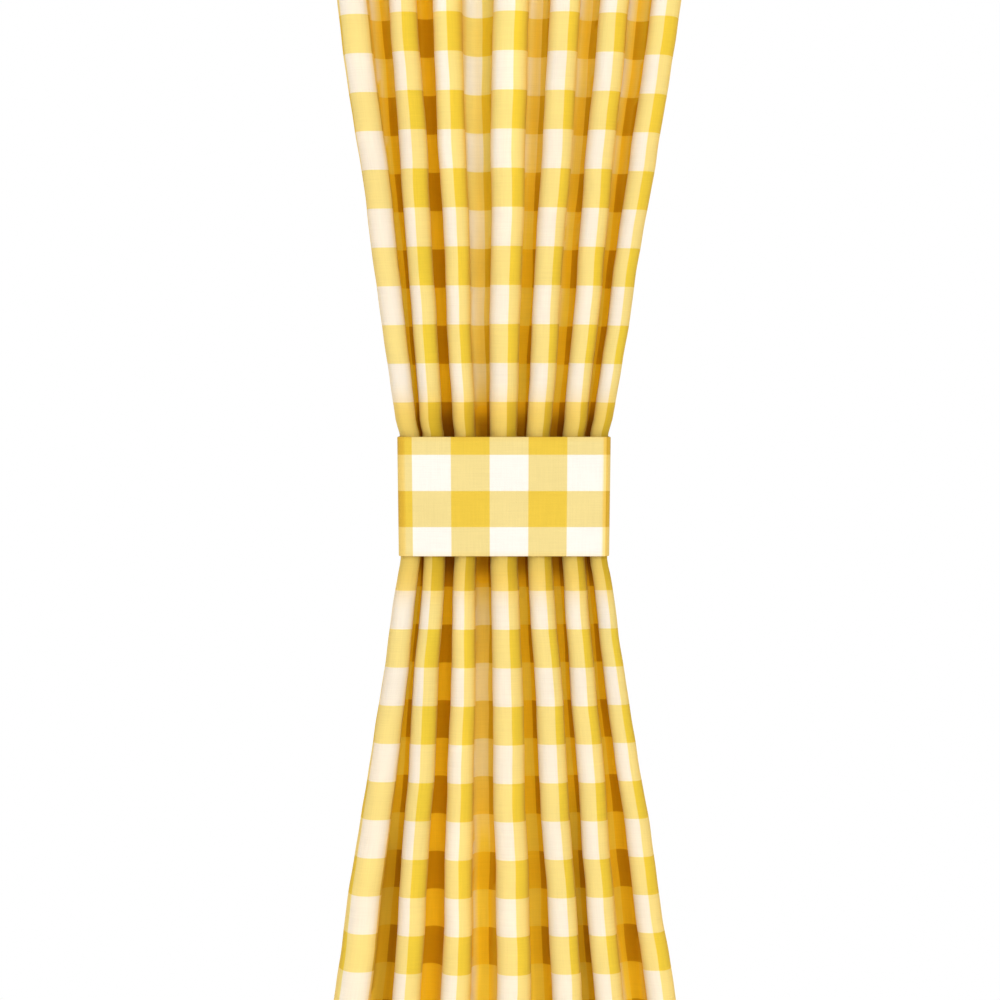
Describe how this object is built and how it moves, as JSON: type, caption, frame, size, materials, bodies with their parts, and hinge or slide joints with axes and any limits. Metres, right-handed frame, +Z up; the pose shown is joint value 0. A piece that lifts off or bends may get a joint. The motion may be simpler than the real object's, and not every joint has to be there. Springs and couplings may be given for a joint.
{
  "type": "french door curtain",
  "caption": "Gathered gingham door curtain with a rod pocket and a ruffled header at both ends, drawn in at mid height by a flat cloth tie band.",
  "frame": {"origin": "the middle of the curtain's top edge, above the upper rod line", "axes": "+Z up along the hanging cloth, -Y out of the front, +X to the right as seen from the front"},
  "size_m": [0.3942, 0.046, 1.8288],
  "materials": {
    "gingham_cloth": "plain-weave cotton gingham in white and golden yellow, matt",
    "band_cloth": "the same gingham, stiffened and pressed flat, matt"
  },
  "bodies": {
    "root": {"curtain_panel": "gingham_cloth", "rod_pocket_top": "gingham_cloth", "rod_pocket_bottom": "gingham_cloth", "tie_band": "band_cloth"}
  },
  "joints": []
}
